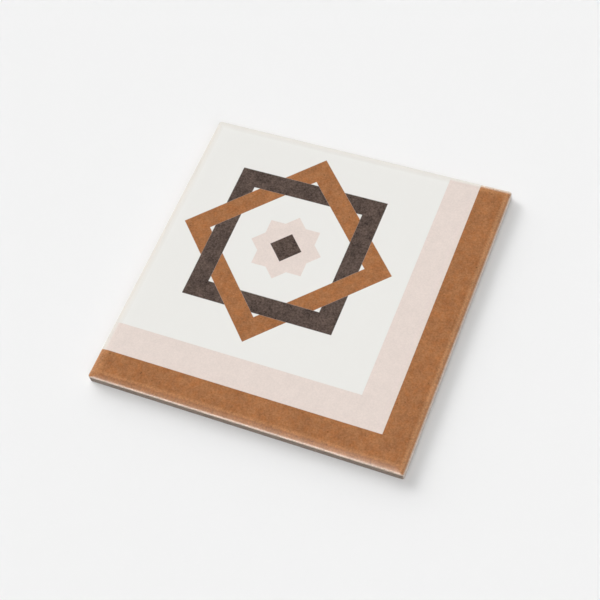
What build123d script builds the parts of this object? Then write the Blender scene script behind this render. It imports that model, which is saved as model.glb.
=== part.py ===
from build123d import *
import math
import os

# A square porcelain wall and floor tile, pressed and fired in one piece.
# It lies on its back: the origin is at the centre of the back, +Z comes out of the glazed face,
# +X runs along one side and +Y along the next. All sizes are in millimetres.

# Whole tile
length = 200.0  # along X
width = 200.0  # along Y
thickness = 7.0  # from the back's rim to the glazed face
corner_radius = 1.5  # of the four upright corners

# Cushion edge: the glazed face falls in a slow arc towards each side, then rolls over the arris
cushion_run = 5.5  # from the side in to the crest, where the fall begins
cushion_drop = 1.2  # how far the arc would fall by the side
crest_corner_radius = 4.0  # of the crest line, seen from above
arris_radius = 0.7  # of the roll between the fall and the upright side
cushion_stations = 5  # outlines that the fall is lofted through
arris_stations = 4  # outlines that the roll is lofted through

# Foot of the sides
back_bevel = 0.5  # both legs of the bevel round the back

# Keyed back: shallow pockets that the adhesive grips, inside a flat rim
rim_width = 8.0
rib_width = 3.2  # flat ground between two pockets
pocket_side = 15.0  # wished side of a pocket, before a whole number is fitted
pocket_depth = 0.8
pocket_draft = 30.0  # lean of the pocket walls, in degrees
pocket_corner_cut = 2.0  # both legs of the cut across a pocket's corners

# The fall is an arc tangent to the flat face, and the roll is tangent to the fall and to the side
fall_radius = (cushion_run**2 + cushion_drop**2) / (2 * cushion_drop)
fall_angle = math.asin((cushion_run - arris_radius) / (fall_radius - arris_radius))
arris_height = thickness - fall_radius + (fall_radius - arris_radius) * math.cos(fall_angle)


def outline(inset, height):
    """The tile seen from above, drawn in by inset at this height. Its corners open up towards the crest."""
    radius = corner_radius + (crest_corner_radius - corner_radius) * inset / cushion_run
    return Pos(0, 0, height) * RectangleRounded(length - 2 * inset, width - 2 * inset, radius)


def fall_outline(angle):
    """The outline where the fall has turned by angle from the flat face."""
    inset = cushion_run - fall_radius * math.sin(angle)
    return outline(inset, thickness - fall_radius * (1 - math.cos(angle)))


def roll_outline(angle):
    """The outline where the roll has turned by angle from the flat face."""
    inset = arris_radius * (1 - math.sin(angle))
    return outline(inset, arris_height + arris_radius * math.cos(angle))


def steps(start, end, count):
    """Evenly spaced values from start to end, both included."""
    return [start + (end - start) * i / (count - 1) for i in range(count)]


def pressed_body():
    """The upright block with its bevelled foot, the roll of the arris and the fall of the cushion edge."""
    block = extrude(outline(0, 0), arris_height)
    block = chamfer(block.faces().sort_by(Axis.Z)[0].edges(), back_bevel)
    roll = loft([roll_outline(angle) for angle in steps(math.pi / 2, fall_angle, arris_stations)])
    fall = loft([fall_outline(angle) for angle in steps(fall_angle, 0, cushion_stations)])
    return block + roll + fall


def fitted_pockets(span):
    """How many pockets fit between the rims across span, and the side that makes them fill it."""
    field = span - 2 * rim_width
    count = max(1, round((field + rib_width) / (pocket_side + rib_width)))
    side = (field - (count - 1) * rib_width) / count
    return count, side


def key_pockets():
    """The pockets of the keyed back, in rows and columns with straight ribs between them."""
    count_x, side_x = fitted_pockets(length)
    count_y, side_y = fitted_pockets(width)
    mouth = chamfer(Rectangle(side_x, side_y).vertices(), pocket_corner_cut)
    pocket = extrude(mouth, pocket_depth, taper=pocket_draft)
    places = GridLocations(side_x + rib_width, side_y + rib_width, count_x, count_y)
    return [place * pocket for place in places]


tile = pressed_body() - key_pockets()

os.makedirs("parts", exist_ok=True)
export_step(tile, "parts/tile.step")
print("tile volume", round(tile.volume, 1), "mm3")
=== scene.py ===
import math

import bpy
import numpy as np
from mathutils import Matrix, Vector


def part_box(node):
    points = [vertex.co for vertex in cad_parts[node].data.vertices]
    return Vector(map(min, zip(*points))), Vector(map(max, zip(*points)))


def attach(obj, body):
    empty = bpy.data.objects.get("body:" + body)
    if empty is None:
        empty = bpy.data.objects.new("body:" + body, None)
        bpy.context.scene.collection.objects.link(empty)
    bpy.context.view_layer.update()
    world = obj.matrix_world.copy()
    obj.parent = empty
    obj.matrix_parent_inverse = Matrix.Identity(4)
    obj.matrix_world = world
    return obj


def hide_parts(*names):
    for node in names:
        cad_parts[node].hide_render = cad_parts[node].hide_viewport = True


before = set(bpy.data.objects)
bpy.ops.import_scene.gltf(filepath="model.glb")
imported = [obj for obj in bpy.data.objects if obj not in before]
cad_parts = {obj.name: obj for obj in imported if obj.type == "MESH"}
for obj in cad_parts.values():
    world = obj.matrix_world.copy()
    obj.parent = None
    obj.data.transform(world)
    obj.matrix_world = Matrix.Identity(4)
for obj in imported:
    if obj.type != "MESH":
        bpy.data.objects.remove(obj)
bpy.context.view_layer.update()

# A glazed porcelain tile lying on its back on a pale floor. Everything is in metres, in the part's own
# frame: origin at the centre of the back, +Z out of the glazed face, the near side at -Y.

_, TILE_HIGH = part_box("tile")

# Shape of the tile, as the solid has it. The fall of the cushion edge is an arc tangent to the flat
# face, and the roll of the arris is tangent to both the fall and the side
HALF = TILE_HIGH.x
THICKNESS = TILE_HIGH.z
CORNER_RADIUS = 0.0015  # of the upright corners
CUSHION_RUN = 0.0055  # from the side in to the crest, where the fall begins
CUSHION_DROP = 0.0012  # how far the arc would fall by the side
CREST_CORNER_RADIUS = 0.004  # of the crest line, seen from above
ARRIS_RADIUS = 0.0007
BACK_BEVEL = 0.0005
RIM_WIDTH = 0.008  # of the flat rim round the keyed back
RIB_WIDTH = 0.0032  # between two pockets
POCKETS_ACROSS = 10
POCKET_SIDE = (2 * HALF - 2 * RIM_WIDTH - (POCKETS_ACROSS - 1) * RIB_WIDTH) / POCKETS_ACROSS
POCKET_PITCH = POCKET_SIDE + RIB_WIDTH
POCKET_DEPTH = 0.0008
POCKET_DRAFT = math.radians(30)
POCKET_WALL = POCKET_DEPTH * math.tan(POCKET_DRAFT)  # how far a pocket's walls lean inwards
POCKET_CORNER_CUT = 0.002

FALL_RADIUS = (CUSHION_RUN**2 + CUSHION_DROP**2) / (2 * CUSHION_DROP)
FALL_ANGLE = math.asin((CUSHION_RUN - ARRIS_RADIUS) / (FALL_RADIUS - ARRIS_RADIUS))
ARRIS_HEIGHT = THICKNESS - FALL_RADIUS + (FALL_RADIUS - ARRIS_RADIUS) * math.cos(FALL_ANGLE)

# How finely the mesh follows the shape
FALL_STEPS = 12
ROLL_STEPS = 7
SIDE_STEPS = 12
SQUARING_RUN = 0.004  # inside the crest, over which the round corners of the mesh lines turn square
LINE_BY_CREST = 0.0012  # from the crest in to the next mesh line
LINE_BY_WALL = 0.0011  # from a pocket's mouth to a mesh line between its wall and its cut corners
LINES_OVER_POCKET = 4  # between the cut corners
LEAST_SPACING = 0.0001  # of two mesh lines by the middle
SHARP_ANGLE = math.radians(40)  # creases of more than this stay sharp in the shading

# Materials of the piece, in the order in which it gets them
GLAZED, BARE, KEYED = range(3)
GLAZED_BELTS = 3  # rows of side faces below the roll that have the glaze's material, with its lower edge

# Places on the unit square of the map that stores the patterns: left, low and side of the glazed face
# and of the back, and left, low, width and pitch of the strips for the four sides
FACE_ON_MAP = (0.005, 0.005, 0.72)
BACK_ON_MAP = (0.735, 0.005, 0.26)
SIDES_ON_MAP = (0.005, 0.735, 0.72, 0.062)
STRIP_FILL = 0.9  # how much of the pitch a strip takes

# Unevenness of the fired piece, as real relief
GLAZE_WAVE_SIZE = 0.011
GLAZE_WAVE_DEPTH = 0.000012
GLAZE_WAVE_SEED = 3
BODY_GRAIN_SIZE = 0.0011
BODY_GRAIN_DEPTH = 0.00004
BODY_GRAIN_SEED = 5

# Finer unevenness, which only turns the light
PEEL_BUMP = 0.00001
SIDE_BUMP = 0.00008
BACK_BUMP = 0.0001

# The print: border bands along the right and near sides, and a woven eight-pointed star
BAND_WIDTH = 0.0196
STAR_CENTRE = (-0.0196, 0.0196)
STAR_HALF_SIDE = 0.0430  # to the middle of a ribbon
RIBBON_WIDTH = 0.0125
HEART_HALF_SIDE = 0.0165
HEART_DIAMOND = 0.0105
PRINT_SOFTNESS = 0.00012
PRINT_WOBBLE = 0.00016
WOBBLE_SIZE = 0.0016

# Pale lines over the cushion edge, partly where the coloured glaze has run thin and partly painted light
# that makes
# up for how the light falls on each side: distance from the side of the palest line, how far the
# paleness reaches inwards and outwards from it, and how pale it gets
THIN_AND_LIT_NEAR = (0.0045, 0.0022, 0.0014, 0.68)
THIN_AND_LIT_RIGHT = (0.0023, 0.0022, 0.0018, 1.0)
THIN_AND_LIT_FAR = (0.0034, 0.0030, 0.0026, 0.60)
THIN_AND_LIT_LEFT = (0.0044, 0.0034, 0.0034, 0.42)

# What changes towards the sides: distance from the side up to which it is in full, distance at which it
# is gone, and how strong it is in full
OUTER_THIN = (0.0022, 0.0032, 0.4)  # the coloured glaze is thin all round, outside those pale lines
RIM_FADE = (0.0001, 0.0008, 0.55)  # the caramel pales over the arris
FAR_FADE = (0.0006, 0.0030, 0.90)  # the caramel pales on the far side, from further in
BLUSH_FADE = (0.0010, 0.0038, 0.90)  # the blush turns white towards the far and the left side
FALL_SHADE = (0.0010, CUSHION_RUN, 1.0)  # painted shade, with thin glaze: the white and the blush are darker on the fall, which holds back the light it catches
FAR_SHADE = 0.7  # how much of that is left by the far side

# How strongly the mottle shows in each glaze, and how bright the glaze is with it
CARAMEL_MOTTLE = 0.52
CARAMEL_SPECKS = 0.3
DARK_MOTTLE = 1.15
DARK_FLECKS = 0.35
DARK_LEVEL = 0.97
BLUSH_MOTTLE = 0.10
BLUSH_LEVEL = 1.01

# The glaze's lower edge on the sides, as heights over the foot of the roll, and the bare body below it
GLAZE_ENDS = (0.0, 0.0002)  # no glaze below the first, all glaze above the second
ENGOBE_ENDS = (-0.0003, -0.0001)  # the same for the pale coat under the glaze
LINE_WAVE = 0.0004  # how far that edge goes up and down
LOWER_ON_PAINTED_LIT = 0.00035  # how much lower it lies on the two sides across X, which are painted paler as painted light
PAINTED_LIT_SOFTNESS = 0.0004  # of the painted light's end at the corners

# Gloss
GLAZE_IOR = 1.55
GLAZE_ROUGHNESS = (0.17, 0.23)
ROUGHER_WHERE_BARE = 0.6

# Kiln wash on the back: heights at which it is worn the most and no more, and how worn it is
WASH_WEAR = (0.0, 0.0004, 0.55)

# Camera, solved from the photograph's perspective
CAMERA_PLACE = (0.238797, -0.364377, 0.692525)
CAMERA_RIGHT = (0.920427, 0.369678, -0.127090)
CAMERA_UP = (-0.259026, 0.820253, 0.509990)
CAMERA_LENS = 80.295
SENSOR_WIDTH = 36.0

# Floor and surroundings. Levels are given where the floor's whole light is 1
FLOOR_REACH = 6.0
FLOOR_GAP = 0.00002  # under the tile's back
AMBIENT_LEVEL = 0.12
GLOW_LEVEL = 1.3
GLOW_DIRECTION = (-0.174, 0.985)  # along X and Y, from the tile to the middle of the glow
GLOW_REACH = (0.5, 0.95)  # cosines of the angle from there: none before the first, all past the second
GLOW_HEIGHTS = (0.10, 0.34)  # sines of the elevation: all below the first, none above the second


def srgb(red, green, blue):
    """A colour given as it looks on screen, 0 to 255, as linear RGBA."""
    def linear(v):
        v /= 255
        return v / 12.92 if v <= 0.04045 else ((v + 0.055) / 1.055) ** 2.4
    return (linear(red), linear(green), linear(blue), 1.0)


WHITE = srgb(240, 239, 235)
# white on the fall: thin glaze with painted shade
WHITE_THIN_AND_SHADED = srgb(216, 211, 203)
BLUSH = srgb(232, 218, 210)
# blush on the fall: thin glaze with painted shade
BLUSH_THIN_AND_SHADED = srgb(212, 197, 188)
CARAMEL = srgb(166, 113, 73)
CARAMEL_RED = srgb(170, 110, 66)
# caramel where it runs thin, lightened further as painted light on the falls
CARAMEL_THIN_AND_LIT = srgb(190, 135, 90)
DARK = srgb(88, 74, 67)
BODY = srgb(134, 118, 105)
# painted light: the bare body on the two sides across X, paler as if lit more
BODY_PAINTED_LIT = srgb(218, 207, 198)
BODY_PALE = srgb(186, 172, 160)
ENGOBE = srgb(228, 214, 198)
BACK_WASH = srgb(206, 200, 190)
SURROUNDINGS = srgb(244, 244, 244)


def add_camera():
    camera = bpy.data.objects.new("camera", bpy.data.cameras.new("camera"))
    bpy.context.scene.collection.objects.link(camera)
    camera.data.lens = CAMERA_LENS
    camera.data.sensor_width = SENSOR_WIDTH
    camera.data.clip_start = 0.01
    right = Vector(CAMERA_RIGHT).normalized()
    back = right.cross(Vector(CAMERA_UP)).normalized()
    turn = Matrix((right, back.cross(right), back)).transposed().to_4x4()
    camera.matrix_world = Matrix.Translation(CAMERA_PLACE) @ turn
    bpy.context.scene.camera = camera


def feed(tree, slot, value):
    """Gives a node's input another node's output, a field or a plain value."""
    if isinstance(value, Field):
        value = value.socket
    if isinstance(value, bpy.types.NodeSocket):
        tree.links.new(value, slot)
    else:
        slot.default_value = value


class Field:
    """A number that varies over a surface. It wraps a node's output, so that patterns read as sums."""

    def __init__(self, tree, socket):
        self.tree = tree
        self.socket = socket

    def math(self, operation, *others):
        node = self.tree.nodes.new("ShaderNodeMath")
        node.operation = operation
        for slot, value in zip(node.inputs, (self, *others)):
            feed(self.tree, slot, value)
        return Field(self.tree, node.outputs[0])

    def __add__(self, other):
        return self.math("ADD", other)

    def __sub__(self, other):
        return self.math("SUBTRACT", other)

    def __mul__(self, other):
        return self.math("MULTIPLY", other)

    def __radd__(self, other):
        return self + other

    def __rsub__(self, other):
        return self * -1.0 + other

    def abs(self):
        return self.math("ABSOLUTE")

    def min(self, other):
        return self.math("MINIMUM", other)

    def max(self, other):
        return self.math("MAXIMUM", other)

    def over(self, limit):
        """1 where the field is over limit, 0 elsewhere."""
        return self.math("GREATER_THAN", limit)

    def ramp(self, start, end, low=0.0, high=1.0, smooth=False):
        """low before start, high after end."""
        node = self.tree.nodes.new("ShaderNodeMapRange")
        node.interpolation_type = "SMOOTHSTEP" if smooth else "LINEAR"
        feed(self.tree, node.inputs["Value"], self)
        for name, value in zip(("From Min", "From Max", "To Min", "To Max"), (start, end, low, high)):
            feed(self.tree, node.inputs[name], value)
        return Field(self.tree, node.outputs["Result"])

    def inside(self, limit=0.0):
        """1 where the field is under limit, with the print's soft edge."""
        return self.ramp(limit - PRINT_SOFTNESS, limit + PRINT_SOFTNESS, 1.0, 0.0)


# Colour sockets of the mix node, by number: its sockets for numbers and vectors have the same names
MIX_BELOW = 6
MIX_ABOVE = 7
MIX_RESULT = 2


class Surface:
    """A material that is being built: its node tree, its shader and the place on the piece."""

    def __init__(self, name):
        self.material = bpy.data.materials.new(name)
        self.material.use_nodes = True
        self.tree = self.material.node_tree
        self.shader = self.tree.nodes["Principled BSDF"]
        self.coordinates = self.tree.nodes.new("ShaderNodeTexCoord").outputs["Object"]
        split = self.tree.nodes.new("ShaderNodeSeparateXYZ")
        feed(self.tree, split.inputs[0], self.coordinates)
        self.x, self.y, self.z = (Field(self.tree, out) for out in split.outputs)

    def noise(self, size, detail=2.0, roughness=0.5, shift=0.0):
        """Noise of about 0 to 1 with spots of this size. Another shift gives other spots."""
        node = self.tree.nodes.new("ShaderNodeTexNoise")
        node.inputs["Scale"].default_value = 1 / size
        node.inputs["Detail"].default_value = detail
        node.inputs["Roughness"].default_value = roughness
        source = self.coordinates
        if shift:
            move = self.tree.nodes.new("ShaderNodeVectorMath")
            move.operation = "ADD"
            feed(self.tree, move.inputs[0], source)
            feed(self.tree, move.inputs[1], (shift, shift, shift))
            source = move.outputs[0]
        feed(self.tree, node.inputs["Vector"], source)
        return Field(self.tree, node.outputs["Fac"])

    def mix(self, below, above, share):
        """The colour above laid over the colour below by share."""
        node = self.tree.nodes.new("ShaderNodeMix")
        node.data_type = "RGBA"
        node.clamp_factor = True
        feed(self.tree, node.inputs["Factor"], share)
        feed(self.tree, node.inputs[MIX_BELOW], below)
        feed(self.tree, node.inputs[MIX_ABOVE], above)
        return node.outputs[MIX_RESULT]

    def brighten(self, colour, gain):
        """The colour times a field around 1."""
        node = self.tree.nodes.new("ShaderNodeVectorMath")
        node.operation = "SCALE"
        if isinstance(colour, tuple):
            colour = colour[:3]  # this node takes no alpha
        feed(self.tree, node.inputs[0], colour)
        feed(self.tree, node.inputs["Scale"], gain)
        return node.outputs[0]

    def bump(self, height, distance):
        node = self.tree.nodes.new("ShaderNodeBump")
        feed(self.tree, node.inputs["Distance"], distance)
        feed(self.tree, node.inputs["Height"], height)
        self.set("Normal", node.outputs["Normal"])

    def set(self, name, value):
        feed(self.tree, self.shader.inputs[name], value)


def ribbon_frame(across, along):
    """Distance outside the ribbon that runs round a square, negative within it."""
    return (across.abs().max(along.abs()) - STAR_HALF_SIDE).abs() - RIBBON_WIDTH / 2


def woven_star(x, y):
    """Where the level and the turned ribbon show, and the small star and the diamond at the heart."""
    right = x - STAR_CENTRE[0]
    far = y - STAR_CENTRE[1]
    slant = (right + far) * math.sqrt(0.5)
    counter = (right - far) * math.sqrt(0.5)

    level = ribbon_frame(right, far).inside()
    turned = ribbon_frame(slant, counter).inside()
    level_on_top = (right * far * (right * right - far * far)).over(0.0)  # in every other eighth
    level_shown = level * (1.0 - turned * (1.0 - level_on_top))
    turned_shown = turned * (1.0 - level * level_on_top)

    heart_square = right.abs().max(far.abs()) - HEART_HALF_SIDE
    heart_turned = slant.abs().max(counter.abs()) - HEART_HALF_SIDE
    heart = heart_square.min(heart_turned).inside()
    diamond = (right.abs() + far.abs()).inside(HEART_DIAMOND)
    return level_shown, turned_shown, heart, diamond


def pale_line(distance, centre, inner, outer, amount):
    """The pale line along one side, 0 to amount: thin glaze with painted light in it."""
    rise = distance.ramp(centre - outer, centre, 0.0, amount, smooth=True)
    return rise * distance.ramp(centre, centre + inner, 1.0, 0.0, smooth=True)


def glaze_colours(surface):
    """White, blush, caramel and dark glaze, mottled, and paler or duller over the cushion edge, partly
    from thin glaze and partly as painted light and shade.
    """
    from_left, from_right = surface.x + HALF, HALF - surface.x
    from_near, from_far = surface.y + HALF, HALF - surface.y
    inset = from_left.min(from_right).min(from_near.min(from_far))

    # thin glaze, with painted light: the pale lines differ side by side for how the light falls on each
    thin_and_lit = inset.ramp(*OUTER_THIN, 0.0, smooth=True)
    pale_lines = (
        (from_near, THIN_AND_LIT_NEAR),
        (from_right, THIN_AND_LIT_RIGHT),
        (from_far, THIN_AND_LIT_FAR),
        (from_left, THIN_AND_LIT_LEFT),
    )
    for distance, reach in pale_lines:
        thin_and_lit = thin_and_lit.max(pale_line(distance, *reach))
    rim = inset.ramp(*RIM_FADE, 0.0, smooth=True).max(from_far.ramp(*FAR_FADE, 0.0, smooth=True))
    blush_rim = from_left.min(from_far).ramp(*BLUSH_FADE, 0.0, smooth=True)
    # painted shade on the fall, less of it by the far side
    fall_shade = inset.ramp(*FALL_SHADE, 0.0) * from_far.ramp(0.0, CUSHION_RUN, FAR_SHADE, 1.0)

    fine = surface.noise(0.0011, detail=4.0, roughness=0.65)
    coarse = surface.noise(0.006, detail=2.0, shift=0.2)
    grain = fine.ramp(0.3, 0.7, -0.5, 0.5) + coarse.ramp(0.3, 0.7, -0.2, 0.2)
    reddish = surface.noise(0.0032, detail=3.0, shift=0.1).ramp(0.42, 0.7)
    specks = surface.noise(0.0021, detail=1.0, shift=0.9).ramp(0.70, 0.76)
    flecks = surface.noise(0.0017, detail=2.0, roughness=0.6, shift=1.3).ramp(0.56, 0.72)

    # white and blush darkened on the fall: thin glaze with painted shade
    white = surface.mix(WHITE, WHITE_THIN_AND_SHADED, fall_shade)
    blush = surface.mix(surface.mix(BLUSH, BLUSH_THIN_AND_SHADED, fall_shade), white, blush_rim)
    blush = surface.brighten(blush, BLUSH_LEVEL + grain * BLUSH_MOTTLE)
    caramel = surface.mix(CARAMEL, CARAMEL_RED, reddish)
    # pale lines over the cushion edge: thin glaze with painted light
    caramel = surface.mix(caramel, CARAMEL_THIN_AND_LIT, thin_and_lit)
    caramel = surface.mix(caramel, ENGOBE, rim)
    caramel = surface.brighten(caramel, 1.0 + grain * CARAMEL_MOTTLE - specks * CARAMEL_SPECKS)
    dark = surface.brighten(DARK, DARK_LEVEL + grain * DARK_MOTTLE + flecks * DARK_FLECKS)
    return white, blush, caramel, dark


def printed_colours(surface):
    """The print on the white glaze: blush and caramel bands, and the woven star."""
    x = surface.x + (surface.noise(WOBBLE_SIZE, shift=0.3) - 0.5) * PRINT_WOBBLE
    y = surface.y + (surface.noise(WOBBLE_SIZE, shift=0.7) - 0.5) * PRINT_WOBBLE
    from_border = (HALF - x).min(y + HALF)
    level_shown, turned_shown, heart, diamond = woven_star(x, y)

    white, blush, caramel, dark = glaze_colours(surface)
    colour = surface.mix(white, blush, from_border.inside(2 * BAND_WIDTH).max(heart))
    colour = surface.mix(colour, caramel, from_border.inside(BAND_WIDTH).max(turned_shown))
    return surface.mix(colour, dark, level_shown.max(diamond))


def painted_lit_sides(surface):
    """1 on the two sides across X, which are painted paler as painted light, and 0 on the other two."""
    return (surface.x.abs() - surface.y.abs()).ramp(-PAINTED_LIT_SOFTNESS, PAINTED_LIT_SOFTNESS)


def side_colour(surface):
    """Bare body, painted paler on the two sides across X as painted light."""
    return surface.mix(BODY, BODY_PAINTED_LIT, painted_lit_sides(surface))


def glaze_material():
    """Satin glaze over the print. It ends in an uneven line a little way down the sides."""
    surface = Surface("printed_glaze")
    printed = printed_colours(surface)
    wave = surface.noise(0.004, detail=3.0, shift=0.5).ramp(0.25, 0.75, -LINE_WAVE, LINE_WAVE)
    # the glaze's edge lies lower on the two sides painted paler as painted light
    height = surface.z + wave + painted_lit_sides(surface) * LOWER_ON_PAINTED_LIT
    bare = height.ramp(*(ARRIS_HEIGHT + limit for limit in GLAZE_ENDS), 1.0, 0.0)
    engobe = height.ramp(*(ARRIS_HEIGHT + limit for limit in ENGOBE_ENDS))
    body = surface.mix(side_colour(surface), ENGOBE, engobe)
    surface.set("Base Color", surface.mix(printed, body, bare))
    smear = surface.noise(0.009, detail=3.0, shift=0.4).ramp(0.3, 0.7, *GLAZE_ROUGHNESS)
    surface.set("Roughness", smear + bare * ROUGHER_WHERE_BARE)
    surface.set("IOR", GLAZE_IOR)
    peel = surface.noise(0.0016, detail=1.0) + surface.noise(0.0005, detail=1.0) * 0.25
    surface.bump(peel, PEEL_BUMP)
    return surface.material


def body_material():
    """The bare fired body on the sides: matt, sandy, with pale and dark grains."""
    surface = Surface("bare_body")
    grain = surface.noise(0.0006, detail=4.0, roughness=0.7)
    cloud = surface.noise(0.007, detail=3.0, shift=0.6)
    pale = grain.ramp(0.35, 0.75) * 0.3 + cloud.ramp(0.4, 0.7) * 0.2
    colour = surface.mix(side_colour(surface), BODY_PALE, pale)
    surface.set("Base Color", surface.brighten(colour, grain.ramp(0.2, 0.45, 0.8, 1.0)))
    surface.set("Roughness", grain.ramp(0.2, 0.8, 0.75, 0.95))
    surface.bump(grain, SIDE_BUMP)
    return surface.material


def back_material():
    """The back: the same body with a chalky kiln wash, thin on the ribs."""
    surface = Surface("keyed_back")
    grain = surface.noise(0.0009, detail=4.0, roughness=0.7)
    cloud = surface.noise(0.014, detail=3.0, shift=0.8)
    worn = surface.z.ramp(*WASH_WEAR, 0.0) * cloud.ramp(0.35, 0.6)
    washed = surface.mix(BACK_WASH, BODY_PALE, cloud.ramp(0.35, 0.7) * 0.6)
    colour = surface.mix(washed, BODY, worn)
    surface.set("Base Color", surface.brighten(colour, grain.ramp(0.25, 0.75, 0.92, 1.04)))
    surface.set("Roughness", grain.ramp(0.2, 0.8, 0.8, 0.97))
    surface.bump(grain, BACK_BUMP)
    return surface.material


def lattice_noise(points, size, seed):
    """Smooth noise of -1 to 1 at the points, with bumps of this size."""
    cells = 32  # along each axis, before the bumps repeat
    table = np.random.default_rng(seed).uniform(-1, 1, (cells, cells, cells))
    place = np.asarray(points) / size
    base = np.floor(place).astype(int)
    t = place - base
    t = t * t * (3 - 2 * t)
    total = np.zeros(len(place))
    for corner in np.ndindex(2, 2, 2):
        weight = np.prod(np.where(corner, t, 1 - t), axis=1)
        i, j, k = ((base + corner) % cells).T
        total += weight * table[i, j, k]
    return total


def cushion_rings():
    """(inset, height) of the mesh rings from the foot of the roll in to the crest."""
    rings = []
    for step in range(ROLL_STEPS):
        angle = math.pi / 2 + (FALL_ANGLE - math.pi / 2) * step / ROLL_STEPS
        inset = ARRIS_RADIUS * (1 - math.sin(angle))
        rings.append((inset, ARRIS_HEIGHT + ARRIS_RADIUS * math.cos(angle)))
    for step in range(FALL_STEPS + 1):
        angle = FALL_ANGLE * (1 - step / FALL_STEPS)
        inset = CUSHION_RUN - FALL_RADIUS * math.sin(angle)
        rings.append((inset, THICKNESS - FALL_RADIUS * (1 - math.cos(angle))))
    return rings


def inner_insets():
    """Insets of the mesh lines from the crest to the middle, with lines on the edges of the pockets."""
    insets = [CUSHION_RUN + LINE_BY_CREST]
    marks = [0, POCKET_WALL, LINE_BY_WALL, POCKET_CORNER_CUT]
    plain = np.linspace(POCKET_CORNER_CUT, POCKET_SIDE - POCKET_CORNER_CUT, LINES_OVER_POCKET + 2)[1:-1]
    start = RIM_WIDTH
    while start < HALF:
        insets += [start + mark for mark in marks]
        insets += [start + mark for mark in plain]
        insets += [start + POCKET_SIDE - mark for mark in reversed(marks)]
        insets.append(start + POCKET_SIDE + RIB_WIDTH / 2)
        start += POCKET_PITCH
    return [inset for inset in insets if inset < HALF - LEAST_SPACING] + [HALF]


def corner_radius_at(inset, outer, crest):
    """Corner radius of a mesh ring: outer at the side, crest at the crest, and square further in."""
    if inset < CUSHION_RUN:
        return outer + (crest - outer) * inset / CUSHION_RUN
    return max(0.0, crest * (1 - (inset - CUSHION_RUN) / SQUARING_RUN))


def rounded(along, half, radius):
    """Moves a point of a square ring, at along on a side, to the same ring with round corners."""
    straight = half - radius
    if abs(along) <= straight or radius == 0:
        return along, half
    turn = (abs(along) - straight) / radius * math.pi / 4
    return math.copysign(straight + radius * math.sin(turn), along), straight + radius * math.cos(turn)


def face_points(insets, radii):
    """Places of a square net of points whose rings are round-cornered squares."""
    lines = [-(HALF - inset) for inset in insets] + [HALF - inset for inset in reversed(insets[:-1])]
    count = len(lines)
    points = np.zeros((count, count, 2))
    for row, y in enumerate(lines):
        for column, x in enumerate(lines):
            ring = min(row, column, count - 1 - row, count - 1 - column)
            half, radius = HALF - insets[ring], radii[ring]
            if abs(x) >= abs(y):
                along, out = rounded(y, half, radius)
                points[row, column] = (math.copysign(out, x) if half else 0.0, along)
            else:
                along, out = rounded(x, half, radius)
                points[row, column] = (along, math.copysign(out, y))
    return points


def from_pocket_middle(place):
    """Distance along one axis from the middle of the nearest pocket."""
    middle = POCKET_PITCH / 2 if POCKETS_ACROSS % 2 == 0 else 0.0
    return np.abs((place - middle + POCKET_PITCH / 2) % POCKET_PITCH - POCKET_PITCH / 2)


def pocket_depth_at(x, y):
    """How deep the keyed back is at these places, by the distance inside the nearest pocket's mouth."""
    across, along = from_pocket_middle(x), from_pocket_middle(y)
    from_sides = POCKET_SIDE / 2 - np.maximum(across, along)
    from_cuts = (POCKET_SIDE - POCKET_CORNER_CUT - across - along) / math.sqrt(2)
    depth = np.clip(np.minimum(from_sides, from_cuts) / POCKET_WALL, 0, 1) * POCKET_DEPTH
    on_rim = np.maximum(np.abs(x), np.abs(y)) > HALF - RIM_WIDTH
    return np.where(on_rim, 0.0, depth)


def rim_of(grid):
    """Indices of a square grid's outer ring, in order round it."""
    return np.concatenate([grid[0, :-1], grid[:-1, -1], grid[-1, :0:-1], grid[:0:-1, 0]])


def face_on_map(flat, ring, insets, heights):
    """Places of the glazed face's points on the map, its rings as far apart as along the surface."""
    along = np.concatenate([[0], np.cumsum(np.hypot(np.diff(insets), np.diff(heights)))])
    half = HALF - np.array(insets)
    half[-1] = HALF  # any size but zero: the middle point stays in the middle
    share = (1 - along / along[-1]) / (2 * half)
    left, low, side = FACE_ON_MAP
    return (np.array([left, low]) + side * (0.5 + flat * share[ring][..., None])).reshape(-1, 2)


def back_on_map(flat):
    """Places of the back's points on the map, as seen from below."""
    left, low, side = BACK_ON_MAP
    return (np.array([left, low]) + side * (0.5 + flat * (-1, 1) / (2 * HALF))).reshape(-1, 2)


def sides_on_map(edge, drops):
    """Corners of the side faces on the map, belt by belt: a strip for each side, one over another."""
    steps = np.linalg.norm(np.roll(edge, -1, axis=0) - edge, axis=1).reshape(4, -1)
    ends = np.cumsum(steps, axis=1) / steps.sum(axis=1, keepdims=True)
    starts = np.column_stack([np.zeros(4), ends[:, :-1]])
    left, low, width, pitch = SIDES_ON_MAP
    base = low + pitch * np.repeat(np.arange(4), steps.shape[1])
    start, end = left + width * starts.ravel(), left + width * ends.ravel()
    heights = [base + STRIP_FILL * pitch * (1 - drop / drops[-1]) for drop in drops]
    return [
        np.array([[start, upper], [start, lower], [end, lower], [end, upper]]).transpose(2, 0, 1)
        for upper, lower in zip(heights, heights[1:])
    ]


def roughen(top, sides):
    """Gives the points their fired unevenness. Every move goes inwards, so the outer size stays."""
    wave = (lattice_noise(top, GLAZE_WAVE_SIZE, GLAZE_WAVE_SEED) - 1) / 2
    top[:, 2] += GLAZE_WAVE_DEPTH * wave
    grain = (lattice_noise(sides, BODY_GRAIN_SIZE, BODY_GRAIN_SEED) - 1) / 2
    shrink = 1 + BODY_GRAIN_DEPTH * grain / HALF
    sides[:, :2] *= shrink[:, None]


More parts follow.
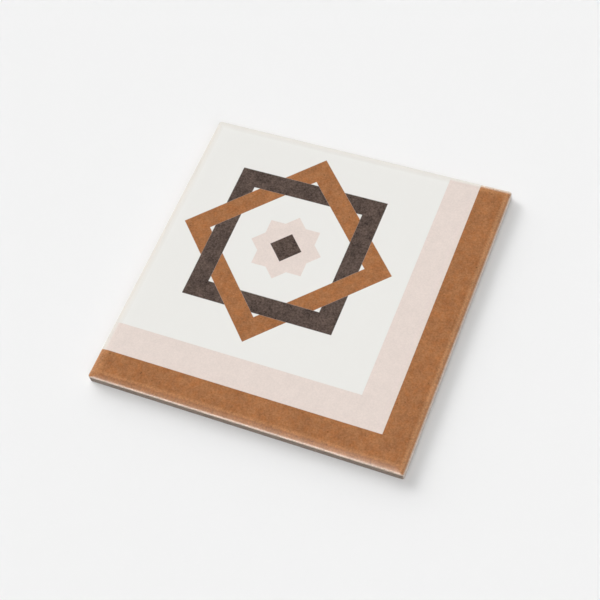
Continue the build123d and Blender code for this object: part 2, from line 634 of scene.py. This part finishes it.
def smooth_mesh(name, points, groups):
    """A mesh of these points, with groups of (faces, their material, their corners on the map)."""
    faces, kinds, spots = zip(*groups)
    mesh = bpy.data.meshes.new(name)
    mesh.from_pydata(points.tolist(), [], np.vstack(faces).tolist())
    kind_of_face = np.repeat(kinds, [len(group) for group in faces]).astype(np.int32)
    mesh.polygons.foreach_set("material_index", kind_of_face)
    mesh.polygons.foreach_set("use_smooth", np.ones(len(mesh.polygons), bool))
    mesh.uv_layers.new(name="OFBake").data.foreach_set("uv", np.vstack(spots).ravel())
    mesh.set_sharp_from_angle(angle=SHARP_ANGLE)
    mesh.update()
    return mesh


def tile_mesh():
    """The whole fired piece as one closed mesh: glazed face, sides and keyed back."""
    rings = cushion_rings()
    inner = inner_insets()
    insets = [inset for inset, _ in rings] + inner
    heights = [height for _, height in rings] + [THICKNESS] * len(inner)

    # The glazed face, and the back with the same net, which starts inside the bevel
    radii = [corner_radius_at(inset, CORNER_RADIUS, CREST_CORNER_RADIUS) for inset in insets]
    flat = face_points(insets, radii)
    count = flat.shape[0]
    rows, columns = np.indices((count, count))
    ring = np.minimum.reduce([rows, columns, count - 1 - rows, count - 1 - columns])
    top = np.dstack([flat, np.array(heights)[ring]]).reshape(-1, 3)
    foot = [BACK_BEVEL + inset * (1 - BACK_BEVEL / CUSHION_RUN) for inset, _ in rings] + inner
    back_flat = face_points(foot, [corner_radius_at(inset, CORNER_RADIUS, 0.0) for inset in insets])
    depth = pocket_depth_at(back_flat[..., 0], back_flat[..., 1])
    back = np.dstack([back_flat, depth]).reshape(-1, 3)

    # The sides, level by level from the foot of the roll down to the bevel
    index = np.arange(count * count).reshape(count, count)
    edge = rim_of(index)
    outline = top[edge][:, :2]
    levels = np.linspace(ARRIS_HEIGHT, BACK_BEVEL, SIDE_STEPS + 1)[1:]
    sides = [np.column_stack([outline, np.full(len(edge), level)]) for level in levels]

    points = np.vstack([top, *sides, back])
    side_start = len(top)
    back_start = side_start + len(edge) * SIDE_STEPS
    roughen(points[:side_start], points[side_start:back_start])

    # Faces, from the glazed face over the belts of the sides to the back
    lower_left, lower_right = index[:-1, :-1].ravel(), index[:-1, 1:].ravel()
    upper_right, upper_left = index[1:, 1:].ravel(), index[1:, :-1].ravel()
    face = np.column_stack([lower_left, lower_right, upper_right, upper_left])
    underside = face[:, ::-1]
    groups = [(face, GLAZED, face_on_map(flat, ring, insets, heights)[face])]
    loops = [edge] + [side_start + len(edge) * step + np.arange(len(edge)) for step in range(SIDE_STEPS)]
    loops.append(back_start + edge)
    drops = [0.0] + [ARRIS_HEIGHT - level for level in levels]
    side_spots = sides_on_map(outline, drops + [drops[-1] + BACK_BEVEL * math.sqrt(2)])
    for number, (upper, lower) in enumerate(zip(loops, loops[1:])):
        belt = np.column_stack([upper, lower, np.roll(lower, -1), np.roll(upper, -1)])
        groups.append((belt, GLAZED if number < GLAZED_BELTS else BARE, side_spots[number]))
    groups.append((underside + back_start, KEYED, back_on_map(back_flat)[underside]))
    return smooth_mesh("glazed_tile", points, groups)


def add_tile():
    piece = bpy.data.objects.new("glazed_tile", tile_mesh())
    bpy.context.scene.collection.objects.link(piece)
    for material in (glaze_material(), body_material(), back_material()):
        piece.data.materials.append(material)
    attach(piece, "root")
    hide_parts("tile")


def add_floor():
    """A pale matt floor, a hair under the tile's back."""
    mesh = bpy.data.meshes.new("floor")
    corners = [(x * FLOOR_REACH, y * FLOOR_REACH, 0) for x, y in ((-1, -1), (1, -1), (1, 1), (-1, 1))]
    mesh.from_pydata(corners, [], [(0, 1, 2, 3)])
    floor = bpy.data.objects.new("floor", mesh)
    floor.location.z = -FLOOR_GAP
    bpy.context.scene.collection.objects.link(floor)
    surface = Surface("floor")
    surface.set("Base Color", SURROUNDINGS)
    surface.set("Roughness", 1.0)
    surface.set("Specular IOR Level", 0.0)
    mesh.materials.append(surface.material)


def add_softbox(name, azimuth, elevation, width, level):
    """A round, even light far away, with its angles in degrees. Azimuth runs from +X to +Y.

    level is the light that it gives a level floor, or would give if it were not kept to reflections.
    """
    lamp = bpy.data.lights.new(name, "SUN")
    lamp.energy = level * math.pi / math.sin(math.radians(elevation))
    lamp.angle = math.radians(width)
    light = bpy.data.objects.new(name, lamp)
    light.rotation_euler = (0, math.radians(90 - elevation), math.radians(azimuth))
    bpy.context.scene.collection.objects.link(light)
    return light


def add_lights():
    """Even light from above, low lights that cast the shadow, and glints along the cushion edge."""
    add_softbox("right", 330, 38, 40, 0.20)
    add_softbox("overhead", 250, 80, 50, 0.09)
    add_softbox("front", 255, 60, 28, 0.12)
    shadow_lights = (
        add_softbox("low_back", 118, 23, 30, 0.10),
        add_softbox("low_left", 152, 21, 34, 0.21),
        add_softbox("high_left", 165, 35, 36, 0.14),
    )
    for light in shadow_lights:
        light.visible_glossy = False
    glints = (
        add_softbox("glint", 235, 50, 24, 0.39),
        add_softbox("corner_glint", 257, 65, 24, 0.13),
        add_softbox("back_glint", 44, 50, 28, 0.03),
        add_softbox("fall_glint", 218, 80.6, 20, 0.045),
    )
    for light in glints:
        light.visible_diffuse = False


def add_world():
    """Dim even light with a pale glow low behind the tile, and a pale backdrop for the camera."""
    world = bpy.data.worlds.new("studio")
    bpy.context.scene.world = world
    world.use_nodes = True
    tree = world.node_tree
    background = tree.nodes["Background"]
    background.inputs["Color"].default_value = (1, 1, 1, 1)
    split = tree.nodes.new("ShaderNodeSeparateXYZ")
    feed(tree, split.inputs[0], tree.nodes.new("ShaderNodeTexCoord").outputs["Generated"])
    x, y, z = (Field(tree, out) for out in split.outputs)
    behind = (x * GLOW_DIRECTION[0] + y * GLOW_DIRECTION[1]).ramp(*GLOW_REACH, smooth=True)
    glow = behind * z.ramp(*GLOW_HEIGHTS, GLOW_LEVEL, 0.0, smooth=True)
    seen = Field(tree, tree.nodes.new("ShaderNodeLightPath").outputs["Is Camera Ray"])
    strength = (glow + AMBIENT_LEVEL) * (1.0 - seen) + seen * SURROUNDINGS[0]
    feed(tree, background.inputs["Strength"], strength)


add_camera()
add_tile()
add_floor()
add_world()
add_lights()
bpy.context.scene.view_settings.view_transform = "Standard"
